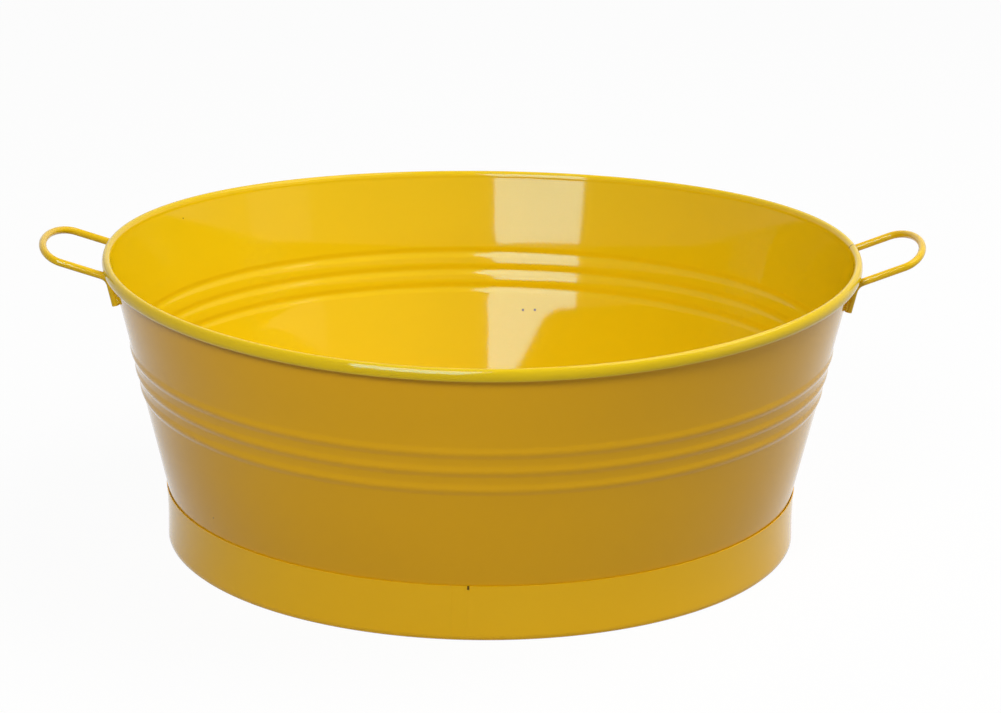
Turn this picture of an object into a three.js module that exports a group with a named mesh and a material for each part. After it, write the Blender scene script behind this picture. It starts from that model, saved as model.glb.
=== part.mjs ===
// A wide round champagne bucket of painted sheet steel, for a party table. The leaning wall has
// three swaged ribs and a curled rim, a pressed floor and a foot ring carry it, and a bent wire
// handle is welded on at each side. Millimetres, +Z up, origin at the middle of the base on the
// table, handles towards +X and -X.

import * as THREE from "three";

// Wall
const sheet = 0.9; // steel of the wall and the floor
const wallFootRadius = 211; // outside of the wall at the top edge of the foot ring
const wallFlare = 13.1; // degrees that the wall leans out
const wallTuck = 17; // how far the wall runs on down inside the foot ring
const rimHeight = 191; // top of the rim above the table, on average
const rimSway = 4; // the rim is this much higher at the handles and lower at front and back
const curlWidth = 6; // rolled edge, seen in section
const curlHeight = 8.8;
const curlTurn = 235; // degrees that the sheet turns before its edge meets the wall again

// Ribs swaged outwards in the wall
const ribCount = 3;
const ribPitch = 12.9;
const topRibHeight = 131.4; // middle of the top rib
const ribWidth = 9;
const ribRise = 1;

// Floor, a pan pressed with its edge turned down
const floorHeight = 28; // upper face of the floor
const floorFlange = 4;
const floorCorner = 1.8;

// Foot ring, a band with its lower edge turned in
const footSheet = 1;
const footHeight = 36;
const footSpread = 0.4; // the band is this much wider on the table than the wall at its top edge
const footWaist = 0.5; // the band draws in by this much between its edges
const footHem = 5;

// Handles, one bent wire each
const wire = 5;
const legSpacing = 80; // between the middles of the two legs
const leftAngle = 17.5; // degrees above level
const rightAngle = 21;
const handleOverhang = 43.9; // from the wall at rim height out to the middle of the wire's end
const endDepth = 17; // how deep the rounded end is
const prongEndHeight = 164; // lower end of the wire on the wall
const wireBend = 5; // length of each leg of the bend under the rim

const seat = 0.3; // gap between pieces that touch or are welded
const roundSteps = 72;
const wireSides = 10;
const wireStep = 2.2; // length of wire between sections

const degrees = Math.PI / 180;
const flareTan = Math.tan(wallFlare * degrees);
const flareCos = Math.cos(wallFlare * degrees);

const paint = new THREE.MeshStandardMaterial({
  color: 0xe8b914,
  roughness: 0.28,
  metalness: 0,
});

const wallOutside = (z) => wallFootRadius + (z - footHeight) * flareTan;
const wallInside = (z) => wallOutside(z) - sheet / flareCos;
const wallMiddle = (z) => wallOutside(z) - sheet / 2 / flareCos;

// How far a height on the wall is lifted by the rim's sway, at an angle round the bucket.
function swayAt(z, angle) {
  const share = Math.max(0, (z - footHeight) / (rimHeight - footHeight));
  return rimSway * share * Math.cos(2 * angle);
}

// The closed section of a sheet that follows a path. A path that starts on the axis stays on it.
function sheetSection(path, thickness) {
  const side = (sign) =>
    path.map((point, i) => {
      const before = path[Math.max(i - 1, 0)];
      const after = path[Math.min(i + 1, path.length - 1)];
      const along = after.clone().sub(before).normalize();
      const across = new THREE.Vector2(-along.y, along.x);
      const moved = point.clone().addScaledVector(across, (sign * thickness) / 2);
      if (point.x === 0) moved.x = 0;
      return moved;
    });
  const section = [...side(-1), ...side(1).reverse()];
  if (path[0].x > 0) section.push(section[0].clone());
  return section;
}

// Turns a section of radius and height round the bucket's axis.
function turned(section) {
  return new THREE.LatheGeometry(section, roundSteps).rotateX(Math.PI / 2);
}

function wallPath() {
  const path = [new THREE.Vector2(wallMiddle(footHeight - wallTuck), footHeight - wallTuck)];
  for (let rib = ribCount - 1; rib >= 0; rib--) {
    const middle = topRibHeight - rib * ribPitch;
    for (const share of [-0.5, -0.27, 0, 0.27, 0.5]) {
      const z = middle + share * ribWidth;
      const rise = ribRise * Math.cos(share * Math.PI) ** 2;
      path.push(new THREE.Vector2(wallMiddle(z) + rise * flareCos, z - rise * flareTan));
    }
  }
  const a = (curlWidth - sheet) / 2;
  const b = (curlHeight - sheet) / 2;
  const middleHeight = rimHeight - curlHeight / 2;
  const middleRadius = wallMiddle(middleHeight) + a;
  const curlSteps = 11;
  for (let i = 0; i <= curlSteps; i++) {
    const turn = 180 - (curlTurn * i) / curlSteps;
    const x = middleRadius + a * Math.cos(turn * degrees);
    path.push(new THREE.Vector2(x, middleHeight + b * Math.sin(turn * degrees)));
  }
  return path;
}

function wallGeometry() {
  const geometry = turned(sheetSection(wallPath(), sheet));
  const at = geometry.getAttribute("position");
  for (let i = 0; i < at.count; i++) {
    const z = at.getZ(i);
    at.setZ(i, z + swayAt(z, Math.atan2(at.getY(i), at.getX(i))));
  }
  return geometry;
}

// The floor's turned-down edge lies against the inside of the wall.
function floorPath() {
  const top = floorHeight - sheet / 2;
  const edge = (z) => wallInside(z) - (seat + sheet / 2) / flareCos;
  return [
    new THREE.Vector2(0, top),
    new THREE.Vector2(edge(top) - 2 * floorCorner, top),
    new THREE.Vector2(edge(top) - floorCorner, top),
    new THREE.Vector2(edge(top - floorCorner / 3) - floorCorner / 3, top - floorCorner / 3),
    new THREE.Vector2(edge(top - floorCorner), top - floorCorner),
    new THREE.Vector2(edge(floorHeight - floorFlange), floorHeight - floorFlange),
  ];
}

// The band laps the wall at its top edge and stands on its turned-in lower edge.
function footPath() {
  const topRadius = wallFootRadius + seat / flareCos + footSheet / 2;
  const baseRadius = wallFootRadius + footSpread - footSheet / 2;
  const base = footSheet / 2;
  const steps = 4;
  const path = [
    new THREE.Vector2(baseRadius - footHem, base),
    new THREE.Vector2(baseRadius - footHem / 2, base),
    new THREE.Vector2(baseRadius - footSheet, base),
  ];
  for (let i = 0; i <= steps; i++) {
    const share = i / steps;
    const z = base + footSheet + share * (footHeight - base - footSheet);
    const straight = baseRadius + share * (topRadius - baseRadius);
    path.push(new THREE.Vector2(straight - footWaist * Math.sin(share * Math.PI), z));
  }
  return path;
}

// The rounded end of a handle, half an ellipse between the two legs.
class HandleEnd extends THREE.Curve {
  constructor(middle, outward) {
    super();
    this.middle = middle;
    this.outward = outward;
  }
  getPoint(share, target = new THREE.Vector3()) {
    const turn = (share - 0.5) * Math.PI;
    target.copy(this.middle).addScaledVector(this.outward, endDepth * Math.cos(turn));
    target.y = (legSpacing / 2) * Math.sin(turn);
    return target;
  }
}

// Wire up the wall, out under the rim, round the end and back, for the handle towards +X.
function handlePath(angle) {
  const side = legSpacing / 2;
  const reach = wallOutside(rimHeight) + handleOverhang;
  const sideAngle = Math.asin(side / wallOutside(rimHeight));
  const onWall = (z) => {
    const radius = wallOutside(z) + (wire / 2 + seat) / flareCos;
    return new THREE.Vector3(Math.sqrt(radius ** 2 - side ** 2), side, z + swayAt(z, sideAngle));
  };
  const foot = onWall(prongEndHeight - swayAt(prongEndHeight, sideAngle));
  const upWall = onWall(rimHeight).sub(foot).normalize();
  const outward = new THREE.Vector3(Math.cos(angle * degrees), 0, Math.sin(angle * degrees));

  // The leg passes under the curl with the same gap that it has to the wall.
  const curlRadius = wallInside(rimHeight - curlHeight / 2) + curlWidth / 2;
  const curlMiddle = new THREE.Vector3(
    Math.sqrt(curlRadius ** 2 - side ** 2),
    side,
    rimHeight - curlHeight / 2 + swayAt(rimHeight, sideAngle),
  );
  const under = Math.hypot((curlWidth / 2) * outward.z, (curlHeight / 2) * outward.x);
  const down = new THREE.Vector3(outward.z, 0, -outward.x);
  const onLeg = curlMiddle.addScaledVector(down, under + wire / 2 + seat);
  const gap = onLeg.clone().sub(foot);
  const turn = upWall.x * outward.z - upWall.z * outward.x;
  const climb = (gap.x * outward.z - gap.z * outward.x) / turn;
  const corner = foot.clone().addScaledVector(upWall, climb);

  const bendFoot = corner.clone().addScaledVector(upWall, -wireBend);
  const bendOut = corner.clone().addScaledVector(outward, wireBend);
  const endMiddle = corner
    .clone()
    .addScaledVector(outward, (reach - corner.x) / outward.x - endDepth);
  const endMiddleOnAxis = endMiddle.clone().setY(0);
  const mirrored = (point) => point.clone().setY(-point.y);
  const path = new THREE.CurvePath();
  path.add(new THREE.LineCurve3(mirrored(foot), mirrored(bendFoot)));
  path.add(
    new THREE.QuadraticBezierCurve3(mirrored(bendFoot), mirrored(corner), mirrored(bendOut)),
  );
  path.add(new THREE.LineCurve3(mirrored(bendOut), mirrored(endMiddle)));
  path.add(new HandleEnd(endMiddleOnAxis, outward));
  path.add(new THREE.LineCurve3(endMiddle, bendOut));
  path.add(new THREE.QuadraticBezierCurve3(bendOut, corner, bendFoot));
  path.add(new THREE.LineCurve3(bendFoot, foot));
  return path;
}

function handleGeometry(angle) {
  const path = handlePath(angle);
  const section = new THREE.Shape().absarc(0, 0, wire / 2, 0, 2 * Math.PI);
  return new THREE.ExtrudeGeometry(section, {
    curveSegments: wireSides / 2,
    steps: Math.round(path.getLength() / wireStep),
    extrudePath: path,
  });
}

const bucket = new THREE.Group();

function addPiece(name, geometry, turn = 0) {
  const mesh = new THREE.Mesh(geometry, paint);
  mesh.name = name;
  mesh.rotation.z = turn;
  bucket.add(mesh);
}

addPiece("tub_wall", wallGeometry());
addPiece("tub_floor", turned(sheetSection(floorPath(), sheet)));
addPiece("foot_ring", turned(sheetSection(footPath(), footSheet)));
addPiece("right_handle", handleGeometry(rightAngle));
addPiece("left_handle", handleGeometry(leftAngle), Math.PI);

export default bucket;
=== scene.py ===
# A wide round champagne bucket of painted sheet steel, with a rolled rim, three swaged ribs,
# a foot ring and two bent wire handles, standing on a white sweep.
import math
import bpy
import bmesh
from mathutils import Matrix, Vector


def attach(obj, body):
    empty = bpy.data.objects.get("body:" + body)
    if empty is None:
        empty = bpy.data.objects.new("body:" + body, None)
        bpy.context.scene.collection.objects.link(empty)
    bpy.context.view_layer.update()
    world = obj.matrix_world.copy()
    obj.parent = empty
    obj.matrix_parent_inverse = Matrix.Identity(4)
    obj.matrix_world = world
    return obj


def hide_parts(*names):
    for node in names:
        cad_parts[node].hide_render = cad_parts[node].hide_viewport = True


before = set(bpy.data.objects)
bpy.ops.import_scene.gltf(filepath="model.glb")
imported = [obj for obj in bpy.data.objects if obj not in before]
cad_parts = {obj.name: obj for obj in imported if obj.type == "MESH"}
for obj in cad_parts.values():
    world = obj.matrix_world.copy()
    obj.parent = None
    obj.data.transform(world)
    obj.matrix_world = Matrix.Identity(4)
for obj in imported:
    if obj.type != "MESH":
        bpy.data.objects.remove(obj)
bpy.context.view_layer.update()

mm = 0.001


# sRGB hex to the linear colour that a shader takes
def toLinear(hexColour):
    parts = [int(hexColour[i:i + 2], 16) / 255 for i in (1, 3, 5)]
    return [c / 12.92 if c <= 0.04045 else ((c + 0.055) / 1.055) ** 2.4 for c in parts] + [1.0]


# Camera, at the photograph's viewing angle

cameraSet = {
    "place": (0.0, -2.0, 0.729),
    "pitch": math.radians(16.96),  # downwards
    "yaw": math.radians(0.36),     # to the right
    "roll": math.radians(0.62),    # right side lower
    "focalPixels": 3116.0,
    "imageWidth": 1001,
    "sensorWidth": 36,
}


def makeCamera():
    s = cameraSet
    forward = Vector((math.sin(s["yaw"]) * math.cos(s["pitch"]),
                      math.cos(s["yaw"]) * math.cos(s["pitch"]), -math.sin(s["pitch"])))
    level = Vector((math.cos(s["yaw"]), -math.sin(s["yaw"]), 0))
    upright = level.cross(forward)
    right = level * math.cos(s["roll"]) + upright * math.sin(s["roll"])
    up = right.cross(forward)
    data = bpy.data.cameras.new("camera")
    data.sensor_width = s["sensorWidth"]
    data.lens = s["sensorWidth"] * s["focalPixels"] / s["imageWidth"]
    camera = bpy.data.objects.new("camera", data)
    turn = Matrix((right, up, -forward)).transposed().to_4x4()
    camera.matrix_world = Matrix.Translation(s["place"]) @ turn
    bpy.context.scene.collection.objects.link(camera)
    bpy.context.scene.camera = camera


makeCamera()
print("camera made")


# Adds a node. An input is given as a socket or a node, which are linked, or as a value.
def addNode(tree, kind, settings=None, inputs=None):
    node = tree.nodes.new(kind)
    for key, value in (settings or {}).items():
        setattr(node, key, value)
    for key, value in (inputs or {}).items():
        if isinstance(value, bpy.types.Node):
            value = value.outputs[0]
        if isinstance(value, bpy.types.NodeSocket):
            tree.links.new(value, node.inputs[key])
        else:
            node.inputs[key].default_value = value
    return node


# Materials

paintSet = {
    "colour": "#E9AE0B",       # the coat at its thickest
    "thinColour": "#EDB30E",   # where it ran thinner
    "gloss": "#FFFAE4",        # the coat's shine, slightly warm
    "speckColour": "#6B4A08",
    "cloudSize": 110 * mm,     # how far apart thick and thin patches lie
    "peelSize": 2.2 * mm,      # orange peel of a sprayed coat
    "peelDepth": 0.003 * mm,
    "waveSize": 70 * mm,       # slight buckles of the rolled sheet
    "waveDepth": 0.08 * mm,
    "speckCell": 34 * mm,      # one speck of dust or none in each cell
    "speckSize": 0.55 * mm,
    "speckFree": 0.6,          # share of the cells that have none
    "roughness": 0.07,
    "specular": 0.16,          # kept low, as the photograph's sheen is
    "laps": [],                # upright edges of a lap, as angle, low, high, width
    "lapRise": 0.25 * mm,
    "gaps": [],                # dark hairlines and dots, as angle, low, high, width
    "lean": None,              # how the shading of a panel leans, as in leanSet
}
leanSet = {
    "tilt": 0.12,              # of the shading only, upwards
    "from": 104 * mm,          # height where it starts
    "full": 92 * mm,           # and where it is full
    "middle": 6 * mm,          # across the bucket, full up to here
    "side": 56 * mm,           # and none from here on
}


# 1 in an upright band on the side at an angle in degrees round the axis
def uprightMark(tree, place, angle, low, high, width):
    at = addNode(tree, "ShaderNodeSeparateXYZ", {}, {0: place})
    x, y, z = at.outputs
    c, s = math.cos(math.radians(angle)), math.sin(math.radians(angle))
    turnedX = addNode(tree, "ShaderNodeMath", {"operation": "MULTIPLY"}, {0: x, 1: c})
    turnedY = addNode(tree, "ShaderNodeMath", {"operation": "MULTIPLY"}, {0: y, 1: s})
    crossX = addNode(tree, "ShaderNodeMath", {"operation": "MULTIPLY"}, {0: x, 1: s})
    crossY = addNode(tree, "ShaderNodeMath", {"operation": "MULTIPLY"}, {0: y, 1: c})
    outward = addNode(tree, "ShaderNodeMath", {"operation": "ADD"}, {0: turnedX, 1: turnedY})
    across = addNode(tree, "ShaderNodeMath", {"operation": "SUBTRACT"}, {0: crossX, 1: crossY})
    apart = addNode(tree, "ShaderNodeMath", {"operation": "ABSOLUTE"}, {0: across})
    mark = addNode(tree, "ShaderNodeMath", {"operation": "LESS_THAN"}, {
        0: apart, 1: width * mm / 2})
    for operation, value, limit in (("GREATER_THAN", outward, 0.0),
                                    ("GREATER_THAN", z, low * mm), ("LESS_THAN", z, high * mm)):
        test = addNode(tree, "ShaderNodeMath", {"operation": operation}, {0: value, 1: limit})
        mark = addNode(tree, "ShaderNodeMath", {"operation": "MULTIPLY"}, {0: mark, 1: test})
    return mark


# The panel under the ribs is shaded as if a little out of true, which lifts its reflections.
def leaningNormal(tree, place, s):
    at = addNode(tree, "ShaderNodeSeparateXYZ", {}, {0: place})
    below = addNode(tree, "ShaderNodeMapRange", {}, {
        "Value": at.outputs["Z"], "From Min": s["from"], "From Max": s["full"]})
    across = addNode(tree, "ShaderNodeMapRange", {}, {
        "Value": at.outputs["X"], "From Min": s["middle"], "From Max": s["side"],
        "To Min": s["tilt"], "To Max": 0.0})
    tilt = addNode(tree, "ShaderNodeMath", {"operation": "MULTIPLY"}, {0: below, 1: across})
    lean = addNode(tree, "ShaderNodeCombineXYZ", {}, {2: tilt})
    facing = addNode(tree, "ShaderNodeNewGeometry").outputs["Normal"]
    added = addNode(tree, "ShaderNodeVectorMath", {"operation": "ADD"}, {0: facing, 1: lean})
    return addNode(tree, "ShaderNodeVectorMath", {"operation": "NORMALIZE"}, {0: added})


# Gloss alkyd paint sprayed on sheet steel. It shows as a deep even colour with a clear but
# slightly rippled reflection, and a few specks of dust in the coat.
def glossPaint(name, settings):
    s = {**paintSet, **settings}
    material = bpy.data.materials.new(name)
    material.use_nodes = True
    tree = material.node_tree
    shader = tree.nodes["Principled BSDF"]
    place = addNode(tree, "ShaderNodeTexCoord").outputs["Object"]

    clouds = addNode(tree, "ShaderNodeTexNoise", {}, {
        "Vector": place, "Scale": 1 / s["cloudSize"], "Detail": 2.0})
    coat = addNode(tree, "ShaderNodeMix", {"data_type": "RGBA"}, {
        0: clouds.outputs["Fac"], 6: toLinear(s["colour"]), 7: toLinear(s["thinColour"])})
    cells = addNode(tree, "ShaderNodeTexVoronoi", {}, {
        "Vector": place, "Scale": 1 / s["speckCell"]})
    split = addNode(tree, "ShaderNodeSeparateColor", {}, {"Color": cells.outputs["Color"]})
    near = addNode(tree, "ShaderNodeMath", {"operation": "LESS_THAN"}, {
        0: cells.outputs["Distance"], 1: s["speckSize"] / s["speckCell"]})
    chosen = addNode(tree, "ShaderNodeMath", {"operation": "GREATER_THAN"}, {
        0: split.outputs["Red"], 1: s["speckFree"]})
    dark = addNode(tree, "ShaderNodeMath", {"operation": "MULTIPLY"}, {0: near, 1: chosen})
    for gap in s["gaps"]:
        dark = addNode(tree, "ShaderNodeMath", {"operation": "MAXIMUM"}, {
            0: dark, 1: uprightMark(tree, place, *gap)})
    colour = addNode(tree, "ShaderNodeMix", {"data_type": "RGBA"}, {
        0: dark, 6: coat.outputs[2], 7: toLinear(s["speckColour"])})
    tree.links.new(colour.outputs[2], shader.inputs["Base Color"])

    waves = addNode(tree, "ShaderNodeTexNoise", {}, {
        "Vector": place, "Scale": 1 / s["waveSize"], "Detail": 1.0})
    height = addNode(tree, "ShaderNodeMath", {"operation": "MULTIPLY"}, {
        0: waves.outputs["Fac"], 1: s["waveDepth"]})
    for lap in s["laps"]:
        height = addNode(tree, "ShaderNodeMath", {"operation": "MULTIPLY_ADD"}, {
            0: uprightMark(tree, place, *lap), 1: s["lapRise"], 2: height})
    buckles = addNode(tree, "ShaderNodeBump", {}, {"Height": height, "Distance": 1.0})
    if s["lean"]:
        tree.links.new(leaningNormal(tree, place, s["lean"]).outputs[0],
                       buckles.inputs["Normal"])
    grain = addNode(tree, "ShaderNodeTexNoise", {}, {
        "Vector": place, "Scale": 1 / s["peelSize"], "Detail": 1.0})
    peel = addNode(tree, "ShaderNodeBump", {}, {
        "Height": grain.outputs["Fac"], "Distance": s["peelDepth"], "Normal": buckles})
    tree.links.new(peel.outputs["Normal"], shader.inputs["Normal"])
    shader.inputs["Roughness"].default_value = s["roughness"]
    shader.inputs["IOR"].default_value = 1.5
    shader.inputs["Specular IOR Level"].default_value = s["specular"]
    shader.inputs["Specular Tint"].default_value = toLinear(s["gloss"])
    return material


sideSeam = (3.4, 10, 186, 5.0)
rimJoint = (3.4, 192.5, 199, 1.4)  # where the ends of the curled edge meet
# Two small dark dots on the inside wall
wallDots = [(82.2, 87.3, 88.9, 1.6), (79.9, 87.8, 89.4, 1.6)]
ringLap = (-93.3, 0, 40, 10.0)
ringLapTick = (-91.9, 33.5, 37, 1.4)  # a dark tick at the top of the lap's end
wallPaint = glossPaint("glossPaintOutside", {"laps": [sideSeam]})
insidePaintLitTone = glossPaint("glossPaintInsideLitTone", {  # painted light: a yellower copy of the outside's paint, for the brighter light inside
    "colour": "#E9C40D", "thinColour": "#EDC910", "laps": [sideSeam],
    "gaps": [rimJoint] + wallDots, "lean": leanSet})
# The foot ring takes a lighter copy of the paint, painted light for the light that falls on its
# upright side.
ringPaintLitTone = glossPaint("glossPaintOnFootRingLitTone", {
    "colour": "#F9C010", "thinColour": "#FCC514", "waveDepth": 0.12 * mm, "waveSize": 50 * mm,
    "laps": [ringLap], "gaps": [ringLapTick]})
wirePaint = glossPaint("glossPaintOnWire", {
    "colour": "#EBBE0E", "thinColour": "#F0C412", "waveSize": 14 * mm, "waveDepth": 0.04 * mm,
    "cloudSize": 30 * mm})
print("materials made")


# Geometry Nodes

meshSet = {
    "mergeWithin": 0.002 * mm,
    "shortestEdge": 0.0005 * mm,
    "crispAngle": math.radians(50),
}


# A geometry tree with a geometry input and output and the named inputs given
def newTree(name, sockets):
    tree = bpy.data.node_groups.new(name, "GeometryNodeTree")
    face = tree.interface
    face.new_socket("Geometry", in_out="INPUT", socket_type="NodeSocketGeometry")
    for label, kind in sockets.items():
        face.new_socket(label, in_out="INPUT", socket_type="NodeSocket" + kind)
    face.new_socket("Geometry", in_out="OUTPUT", socket_type="NodeSocketGeometry")
    return tree, tree.nodes.new("NodeGroupInput").outputs


# Ends a tree with real geometry, painted all over or on the part given.
def closeTree(tree, geometry, material, part=True):
    real = addNode(tree, "GeometryNodeRealizeInstances", {}, {"Geometry": geometry})
    painted = addNode(tree, "GeometryNodeSetMaterial", {}, {
        "Geometry": real, "Selection": part, "Material": material})
    end = tree.nodes.new("NodeGroupOutput")
    tree.links.new(painted.outputs[0], end.inputs[0])


# Turns a row of section points, radius in X and height in Z, round the bucket's axis.
def makeTurningTree():
    tree, given = newTree("turnedSheet", {
        "Columns": "Int", "Sway": "Float", "Sway From": "Float", "Sway To": "Float",
        "Outer Rows": "Float", "Outer Paint": "Material", "Inner Paint": "Material"})
    section, columns = given["Geometry"], given["Columns"]
    size = addNode(tree, "GeometryNodeAttributeDomainSize", {}, {"Geometry": section})
    rows = size.outputs["Point Count"]
    columnCount = addNode(tree, "ShaderNodeMath", {"operation": "ADD"}, {0: columns, 1: 1})
    depth = addNode(tree, "ShaderNodeMath", {"operation": "SUBTRACT"}, {0: rows, 1: 1})
    grid = addNode(tree, "GeometryNodeMeshGrid", {}, {
        "Size X": columns, "Size Y": depth, "Vertices X": columnCount, "Vertices Y": rows})

    # Column and row of each grid point
    at = addNode(tree, "ShaderNodeSeparateXYZ", {}, {
        0: addNode(tree, "GeometryNodeInputPosition")})
    column = addNode(tree, "ShaderNodeMath", {"operation": "MULTIPLY_ADD"}, {
        0: columns, 1: 0.5, 2: at.outputs["X"]})
    rawRow = addNode(tree, "ShaderNodeMath", {"operation": "MULTIPLY_ADD"}, {
        0: depth, 1: 0.5, 2: at.outputs["Y"]})
    row = addNode(tree, "ShaderNodeMath", {"operation": "ROUND"}, {0: rawRow})
    share = addNode(tree, "ShaderNodeMath", {"operation": "DIVIDE"}, {0: column, 1: columns})
    angle = addNode(tree, "ShaderNodeMath", {"operation": "MULTIPLY"}, {
        0: share, 1: 2 * math.pi})
    point = addNode(tree, "GeometryNodeSampleIndex", {"data_type": "FLOAT_VECTOR"}, {
        "Geometry": section, "Index": row,
        "Value": addNode(tree, "GeometryNodeInputPosition")})
    onSection = addNode(tree, "ShaderNodeSeparateXYZ", {}, {0: point})
    radius, height = onSection.outputs["X"], onSection.outputs["Z"]

    # The rim's sway lifts the handles' sides and lowers front and back
    above = addNode(tree, "ShaderNodeMath", {"operation": "MAXIMUM"}, {
        0: height, 1: given["Sway From"]})
    sway = addNode(tree, "ShaderNodeMapRange", {"clamp": False}, {
        "Value": above, "From Min": given["Sway From"], "From Max": given["Sway To"],
        "To Min": 0.0, "To Max": given["Sway"]})
    twice = addNode(tree, "ShaderNodeMath", {"operation": "MULTIPLY"}, {0: angle, 1: 2.0})
    wave = addNode(tree, "ShaderNodeMath", {"operation": "COSINE"}, {0: twice})
    lift = addNode(tree, "ShaderNodeMath", {"operation": "MULTIPLY"}, {0: sway, 1: wave})

    cosine = addNode(tree, "ShaderNodeMath", {"operation": "COSINE"}, {0: angle})
    sine = addNode(tree, "ShaderNodeMath", {"operation": "SINE"}, {0: angle})
    x = addNode(tree, "ShaderNodeMath", {"operation": "MULTIPLY"}, {0: radius, 1: cosine})
    y = addNode(tree, "ShaderNodeMath", {"operation": "MULTIPLY"}, {0: radius, 1: sine})
    z = addNode(tree, "ShaderNodeMath", {"operation": "ADD"}, {0: height, 1: lift})
    place = addNode(tree, "ShaderNodeCombineXYZ", {}, {0: x, 1: y, 2: z})

    # The faces keep their row, because it can't be told from the turned shape
    marked = addNode(tree, "GeometryNodeStoreNamedAttribute",
                     {"data_type": "FLOAT", "domain": "FACE"},
                     {"Geometry": grid, "Name": "row", "Value": row})
    turned = addNode(tree, "GeometryNodeSetPosition", {}, {
        "Geometry": marked, "Position": place})
    inner = addNode(tree, "GeometryNodeSetMaterial", {}, {
        "Geometry": turned, "Material": given["Inner Paint"]})
    closed = addNode(tree, "GeometryNodeMergeByDistance", {}, {
        "Geometry": inner, "Distance": meshSet["mergeWithin"]})
    ownRow = addNode(tree, "GeometryNodeInputNamedAttribute", {"data_type": "FLOAT"}, {
        "Name": "row"})
    outer = addNode(tree, "ShaderNodeMath", {"operation": "LESS_THAN"}, {
        0: ownRow, 1: given["Outer Rows"]})
    closeTree(tree, closed, given["Outer Paint"], outer)
    return tree


# A round wire with closed ends along a row of points
def makeWireTree():
    tree, given = newTree("bentWire", {"Radius": "Float", "Sides": "Int",
                                       "Material": "Material"})
    path = addNode(tree, "GeometryNodeMeshToCurve", {}, {"Mesh": given["Geometry"]})
    ring = addNode(tree, "GeometryNodeCurvePrimitiveCircle", {}, {
        "Resolution": given["Sides"], "Radius": given["Radius"]})
    wire = addNode(tree, "GeometryNodeCurveToMesh", {}, {
        "Curve": path, "Profile Curve": ring, "Fill Caps": True})
    closeTree(tree, wire, given["Material"])
    return tree


# Overlapping beads of weld along rows of points
def makeWeldTree():
    tree, given = newTree("weldBeads", {
        "Spacing": "Float", "Bead": "Float", "Smallest": "Float", "Largest": "Float",
        "Seed": "Int", "Material": "Material"})
    path = addNode(tree, "GeometryNodeMeshToCurve", {}, {"Mesh": given["Geometry"]})
    spots = addNode(tree, "GeometryNodeCurveToPoints", {"mode": "LENGTH"}, {
        "Curve": path, "Length": given["Spacing"]})
    ball = addNode(tree, "GeometryNodeMeshIcoSphere", {}, {
        "Radius": given["Bead"], "Subdivisions": 3})
    size = addNode(tree, "FunctionNodeRandomValue", {"data_type": "FLOAT"}, {
        2: given["Smallest"], 3: given["Largest"], "Seed": given["Seed"]})
    beads = addNode(tree, "GeometryNodeInstanceOnPoints", {}, {
        "Points": spots, "Instance": ball, "Scale": size.outputs[1]})
    closeTree(tree, beads, given["Material"])
    return tree


# Feeds rows of points to a tree and returns the result as a plain mesh piece.
def runTree(name, rows, tree, values):
    source = bpy.data.meshes.new(name + "Points")
    edges, start = [], 0
    for row in rows:
        edges += [(start + i, start + i + 1) for i in range(len(row) - 1)]
        start += len(row)
    source.from_pydata([p for row in rows for p in row], edges, [])
    holder = bpy.data.objects.new(name + "Holder", source)
    bpy.context.scene.collection.objects.link(holder)
    modifier = holder.modifiers.new("shape", "NODES")
    modifier.node_group = tree
    sockets = {item.name: item.identifier for item in tree.interface.items_tree
               if item.in_out == "INPUT"}
    for label, value in values.items():
        modifier[sockets[label]] = value
    ready = holder.evaluated_get(bpy.context.evaluated_depsgraph_get())
    mesh = bpy.data.meshes.new_from_object(ready)
    bpy.data.objects.remove(holder)
    return finishPiece(name, mesh)


# Closes seams, turns faces out, shades smooth with crisp edges and links the piece.
def finishPiece(name, mesh):
    shell = bmesh.new()
    shell.from_mesh(mesh)
    bmesh.ops.dissolve_degenerate(shell, dist=meshSet["shortestEdge"], edges=shell.edges)
    bmesh.ops.recalc_face_normals(shell, faces=shell.faces)
    shell.to_mesh(mesh)
    shell.free()
    mesh.shade_smooth()
    mesh.set_sharp_from_angle(angle=meshSet["crispAngle"])
    piece = bpy.data.objects.new(name, mesh)
    bpy.context.scene.collection.objects.link(piece)
    return piece


# Sheet sections. Paths are in millimetres, with the radius first and then the height.

# The closed section of a sheet along a path. A path that starts on the axis stays on it.
def sheetSection(path, thickness):
    sides = []
    for sign in (-1, 1):
        side = []
        for i, (x, z) in enumerate(path):
            before, after = path[max(i - 1, 0)], path[min(i + 1, len(path) - 1)]
            dx, dz = after[0] - before[0], after[1] - before[1]
            step = sign * thickness / 2 / math.hypot(dx, dz)
            side.append((x - dz * step if x else 0.0, 0.0, z + dx * step))
        sides.append(side)
    section = sides[0] + sides[1][::-1]
    if path[0][0]:
        section.append(section[0])
    return [tuple(c * mm for c in point) for point in section]


wallSet = {
    "sheet": 0.9,
    "footRadius": 211.0,   # outside, at the top edge of the foot ring
    "flare": math.radians(13.1),
    "tuck": 17.0,          # runs on down inside the foot ring
    "rimHeight": 191.0,
    "sway": 4.0,           # rim higher at the handles, lower at front and back
    "curlWidth": 6.0,
    "curlHeight": 8.8,
    "curlTurn": 235.0,
    "curlSteps": 40,
    "ribCount": 3,
    "ribPitch": 12.9,
    "topRib": 131.4,
    "ribWidth": 9.0,
    "ribRise": 1.0,
    "ribSteps": 12,
    "belowRibs": (60.0, 85.0),
    "aboveRibs": (150.0, 165.0, 178.0, 184.0, 186.0),
    "columns": 360,
}
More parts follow.
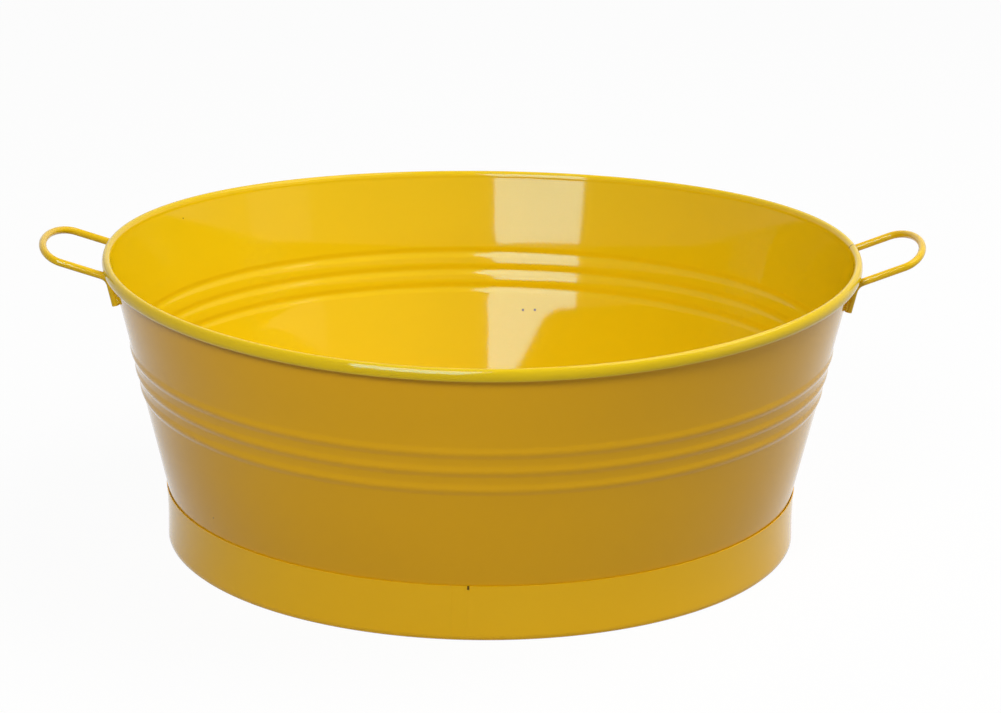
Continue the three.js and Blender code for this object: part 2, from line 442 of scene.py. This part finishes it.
# The sheet is thinner than in the CAD, so that its top edge doesn't show as a line.
footSet = {"sheet": 0.6, "height": 36.0, "spread": 0.4, "waist": 0.5, "hem": 5.0, "steps": 14}
floorSet = {"height": 28.0, "flange": 4.0, "corner": 1.8, "cornerSteps": 6,
            "shares": (0.3, 0.6, 0.9)}
seatGap = 0.3
flareTan, flareCos = math.tan(wallSet["flare"]), math.cos(wallSet["flare"])


def wallOutside(z):
    return wallSet["footRadius"] + (z - footSet["height"]) * flareTan


def wallMiddle(z):
    return wallOutside(z) - wallSet["sheet"] / 2 / flareCos


def wallInside(z):
    return wallOutside(z) - wallSet["sheet"] / flareCos


# How far the rim's sway lifts a height on the wall
def swayAt(z, angle):
    share = max(0, (z - footSet["height"]) / (wallSet["rimHeight"] - footSet["height"]))
    return wallSet["sway"] * share * math.cos(2 * angle)


def wallPath():
    s = wallSet
    low = footSet["height"] - s["tuck"]
    path = [(wallMiddle(z), z) for z in (low, footSet["height"], *s["belowRibs"])]
    for rib in reversed(range(s["ribCount"])):
        middle = s["topRib"] - rib * s["ribPitch"]
        for i in range(s["ribSteps"] + 1):
            share = i / s["ribSteps"] - 0.5
            z = middle + share * s["ribWidth"]
            rise = s["ribRise"] * math.cos(share * math.pi) ** 2
            path.append((wallMiddle(z) + rise * flareCos, z - rise * flareTan))
    path += [(wallMiddle(z), z) for z in s["aboveRibs"]]
    a, b = (s["curlWidth"] - s["sheet"]) / 2, (s["curlHeight"] - s["sheet"]) / 2
    middleHeight = s["rimHeight"] - s["curlHeight"] / 2
    middleRadius = wallMiddle(middleHeight) + a
    for i in range(s["curlSteps"] + 1):
        turn = math.radians(180 - s["curlTurn"] * i / s["curlSteps"])
        path.append((middleRadius + a * math.cos(turn), middleHeight + b * math.sin(turn)))
    return path


def footPath():
    s = footSet
    top = wallSet["footRadius"] + seatGap / flareCos + s["sheet"] / 2
    base = wallSet["footRadius"] + s["spread"] - s["sheet"] / 2
    low = s["sheet"] / 2
    path = [(base - s["hem"], low), (base - s["hem"] / 2, low), (base - s["sheet"], low)]
    for i in range(s["steps"] + 1):
        share = i / s["steps"]
        z = low + s["sheet"] + share * (s["height"] - low - s["sheet"])
        x = base + share * (top - base) - s["waist"] * math.sin(share * math.pi)
        path.append((x, z))
    return path


def floorPath():
    s = floorSet
    top, corner = s["height"] - wallSet["sheet"] / 2, s["corner"]

    def edge(z):
        return wallInside(z) - (seatGap + wallSet["sheet"] / 2) / flareCos

    path = [(0.0, top)] + [(edge(top) * share, top) for share in s["shares"]]
    for i in range(s["cornerSteps"] + 1):
        turn = math.radians(90 * i / s["cornerSteps"])
        z = top - corner + corner * math.cos(turn)
        path.append((edge(z) - corner + corner * math.sin(turn), z))
    path.append((edge(s["height"] - s["flange"]), s["height"] - s["flange"]))
    return path


turningTree = makeTurningTree()


def turnedPiece(name, path, thickness, sway, outerPaint, innerPaint, node):
    piece = runTree(name, [sheetSection(path, thickness)], turningTree, {
        "Columns": wallSet["columns"], "Sway": sway * mm, "Sway From": footSet["height"] * mm,
        "Sway To": wallSet["rimHeight"] * mm, "Outer Rows": len(path) - 0.5,
        "Outer Paint": outerPaint, "Inner Paint": innerPaint})
    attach(piece, "root")
    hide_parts(node)


turnedPiece("ribbedWall", wallPath(), wallSet["sheet"], wallSet["sway"], wallPaint, insidePaintLitTone,
            "tub_wall")
turnedPiece("footRing", footPath(), footSet["sheet"], 0, ringPaintLitTone, ringPaintLitTone, "foot_ring")
turnedPiece("pressedFloor", floorPath(), wallSet["sheet"], 0, wallPaint, insidePaintLitTone, "tub_floor")
print("wall, foot ring and floor made")


# Handles

handleSet = {
    "wire": 5.0,
    "legSpacing": 80.0,
    "rise": {"right": 21.0, "left": 17.5},  # degrees above level
    "overhang": 43.9,
    "endDepth": 17.0,
    "prongEnd": 164.0,
    "bend": 5.0,
    "bendSteps": 10,
    "endSteps": 48,
    "sides": 32,
}


# Up the wall, out under the rim, round the end and back, for a handle towards +X
def handlePath(rise):
    s = handleSet
    side = s["legSpacing"] / 2
    sideAngle = math.asin(side / wallOutside(wallSet["rimHeight"]))

    def onWall(z):
        radius = wallOutside(z) + (s["wire"] / 2 + seatGap) / flareCos
        return Vector((math.sqrt(radius ** 2 - side ** 2), side, z + swayAt(z, sideAngle)))

    foot = onWall(s["prongEnd"] - swayAt(s["prongEnd"], sideAngle))
    upWall = (onWall(wallSet["rimHeight"]) - foot).normalized()
    outward = Vector((math.cos(math.radians(rise)), 0, math.sin(math.radians(rise))))

    # The leg passes under the curl with the same gap that it has to the wall
    curlHeight = wallSet["rimHeight"] - wallSet["curlHeight"] / 2
    curlRadius = wallInside(curlHeight) + wallSet["curlWidth"] / 2
    curl = Vector((math.sqrt(curlRadius ** 2 - side ** 2), side,
                   curlHeight + swayAt(wallSet["rimHeight"], sideAngle)))
    under = math.hypot(wallSet["curlWidth"] / 2 * outward.z,
                       wallSet["curlHeight"] / 2 * outward.x)
    down = Vector((outward.z, 0, -outward.x))
    gap = curl + down * (under + s["wire"] / 2 + seatGap) - foot
    turn = upWall.x * outward.z - upWall.z * outward.x
    corner = foot + upWall * ((gap.x * outward.z - gap.z * outward.x) / turn)

    bendFoot, bendOut = corner - upWall * s["bend"], corner + outward * s["bend"]
    half = [foot, foot.lerp(bendFoot, 0.5)]
    for i in range(s["bendSteps"] + 1):
        t = i / s["bendSteps"]
        half.append(bendFoot.lerp(corner, t).lerp(corner.lerp(bendOut, t), t))
    reach = wallOutside(wallSet["rimHeight"]) + s["overhang"]
    middle = corner + outward * ((reach - corner.x) / outward.x - s["endDepth"])
    end = []
    for i in range(s["endSteps"] + 1):
        turn = math.pi * (0.5 - i / s["endSteps"])
        point = middle + outward * s["endDepth"] * math.cos(turn)
        end.append(Vector((point.x, side * math.sin(turn), point.z)))
    back = [Vector((p.x, -p.y, p.z)) for p in reversed(half)]
    return half + end + back


# Points for the handle towards +X, in metres, and turned to the other side by direction -1
def placed(points, direction):
    return [(p.x * direction * mm, p.y * direction * mm, p.z * mm) for p in points]


wireTree, weldTree = makeWireTree(), makeWeldTree()
weldSet = {
    "length": 14.0,
    "low": 2.0,            # starts this far above the wire's end
    "spread": 2.3,         # from the wire's middle to each row
    "sunk": 0.4,
    "steps": 8,
    "spacing": 1.6 * mm,
    "bead": 1.3 * mm,
    "sizes": (0.8, 1.15),
    "seed": 3,
}


# Two rows of weld beside each end of the wire, on the wall
def weldRows(path, direction):
    rows = []
    for foot, above in ((path[0], path[1]), (path[-1], path[-2])):
        along = (above - foot).normalized()
        inward = Vector((foot.x, foot.y, 0)).normalized()
        normal = (inward - along * inward.dot(along)).normalized()
        across = along.cross(normal)
        contact = foot - normal * (handleSet["wire"] / 2 - weldSet["sunk"])
        for sign in (-1, 1):
            start = contact + across * sign * weldSet["spread"] + along * weldSet["low"]
            row = [start + along * weldSet["length"] * i / weldSet["steps"]
                   for i in range(weldSet["steps"] + 1)]
            rows.append(placed(row, direction))
    return rows


def makeHandle(side, direction):
    path = handlePath(handleSet["rise"][side])
    wire = runTree(side + "WireHandle", [placed(path, direction)], wireTree, {
        "Radius": handleSet["wire"] / 2 * mm, "Sides": handleSet["sides"],
        "Material": wirePaint})
    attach(wire, "root")
    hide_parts(side + "_handle")
    welds = runTree(side + "HandleWelds", weldRows(path, direction), weldTree, {
        "Spacing": weldSet["spacing"], "Bead": weldSet["bead"],
        "Smallest": weldSet["sizes"][0], "Largest": weldSet["sizes"][1],
        "Seed": weldSet["seed"], "Material": wirePaint})
    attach(welds, "root")


makeHandle("right", 1)
makeHandle("left", -1)
print("handles made")


# Stage

stageSet = {
    "sweepSize": 14,
    "sweepColour": "#EDEDEB",
    "bounceColour": "#A6A6A3",  # what the sweep gives back to the bucket
    "white": 0.95,              # share of plain white in what is seen of it
    "worldLight": 0.19,
}
lampSet = {
    # azimuth to the right of the camera, elevation, distance, width, height, radiance
    "frontShine": (-19.8, 32, 2.4, 1.36, 2.0, 25.0),
    "frontFill": (-17, 35, 2.4, 0.72, 0.66, 16.2),
    "topRight": (100, 58, 2.2, 1.6, 1.6, 4.5),
    "rightPanel": (75, 12, 2.4, 1.0, 1.6, 0.8),
    "topBack": (180, 40, 3.0, 2.0, 1.2, 0.5),
}
shineOnly, fillOnly = "frontShine", "frontFill"
shineColour = (0.25, 0.63, 0.95)  # cool, so that the shine doesn't clip on the warm paint
lampTarget = Vector((0, 0, 0.1))


# 1 where a surface is looked at or mirrored, and 0 where it lights the bucket
def seenShare(tree):
    path = addNode(tree, "ShaderNodeLightPath")
    seen = addNode(tree, "ShaderNodeMath", {"operation": "MAXIMUM"}, {
        0: path.outputs["Is Camera Ray"], 1: path.outputs["Is Glossy Ray"]})
    return addNode(tree, "ShaderNodeMath", {"operation": "MAXIMUM"}, {
        0: seen, 1: path.outputs["Is Transmission Ray"]})


# A white paper sweep that stays white to the camera and keeps the bucket's shadow
def makeSweep():
    bpy.ops.mesh.primitive_plane_add(size=stageSet["sweepSize"], location=(0, 0, 0))
    sweep = bpy.context.object
    sweep.name = "whiteSweep"
    material = bpy.data.materials.new("whitePaperSweep")
    material.use_nodes = True
    tree = material.node_tree
    tree.nodes.clear()
    seen = seenShare(tree)
    colour = addNode(tree, "ShaderNodeMix", {"data_type": "RGBA"}, {
        0: seen, 6: toLinear(stageSet["bounceColour"]), 7: toLinear(stageSet["sweepColour"])})
    matt = addNode(tree, "ShaderNodeBsdfDiffuse", {}, {"Color": colour.outputs[2]})
    glow = addNode(tree, "ShaderNodeEmission", {}, {"Strength": 1.0})
    share = addNode(tree, "ShaderNodeMath", {"operation": "MULTIPLY"}, {
        0: seen, 1: stageSet["white"]})
    both = addNode(tree, "ShaderNodeMixShader", {}, {0: share, 1: matt, 2: glow})
    addNode(tree, "ShaderNodeOutputMaterial", {}, {"Surface": both})
    sweep.data.materials.append(material)


def makeLights():
    for name, (azimuth, elevation, distance, width, height, radiance) in lampSet.items():
        a, e = math.radians(azimuth), math.radians(elevation)
        away = Vector((math.sin(a) * math.cos(e), -math.cos(a) * math.cos(e), math.sin(e)))
        data = bpy.data.lights.new(name, "AREA")
        data.shape = "RECTANGLE"
        data.size, data.size_y = width, height
        data.energy = radiance * math.pi * width * height
        lamp = bpy.data.objects.new(name, data)
        lamp.location = lampTarget + away * distance
        lamp.rotation_euler = away.to_track_quat("Z", "Y").to_euler()
        lamp.visible_camera = False
        lamp.visible_glossy = name != fillOnly
        if name == shineOnly:
            lamp.visible_diffuse = False
            data.color = shineColour
        bpy.context.scene.collection.objects.link(lamp)


def makeWorld():
    world = bpy.data.worlds.new("studio")
    bpy.context.scene.world = world
    world.use_nodes = True
    tree = world.node_tree
    level = addNode(tree, "ShaderNodeMapRange", {}, {
        "Value": seenShare(tree), "To Min": stageSet["worldLight"], "To Max": 1.0})
    tree.links.new(level.outputs[0], tree.nodes["Background"].inputs["Strength"])
    tree.nodes["Background"].inputs["Color"].default_value = (1, 1, 1, 1)


makeSweep()
makeLights()
makeWorld()
bpy.context.scene.view_settings.view_transform = "Standard"
print("stage and lights made")
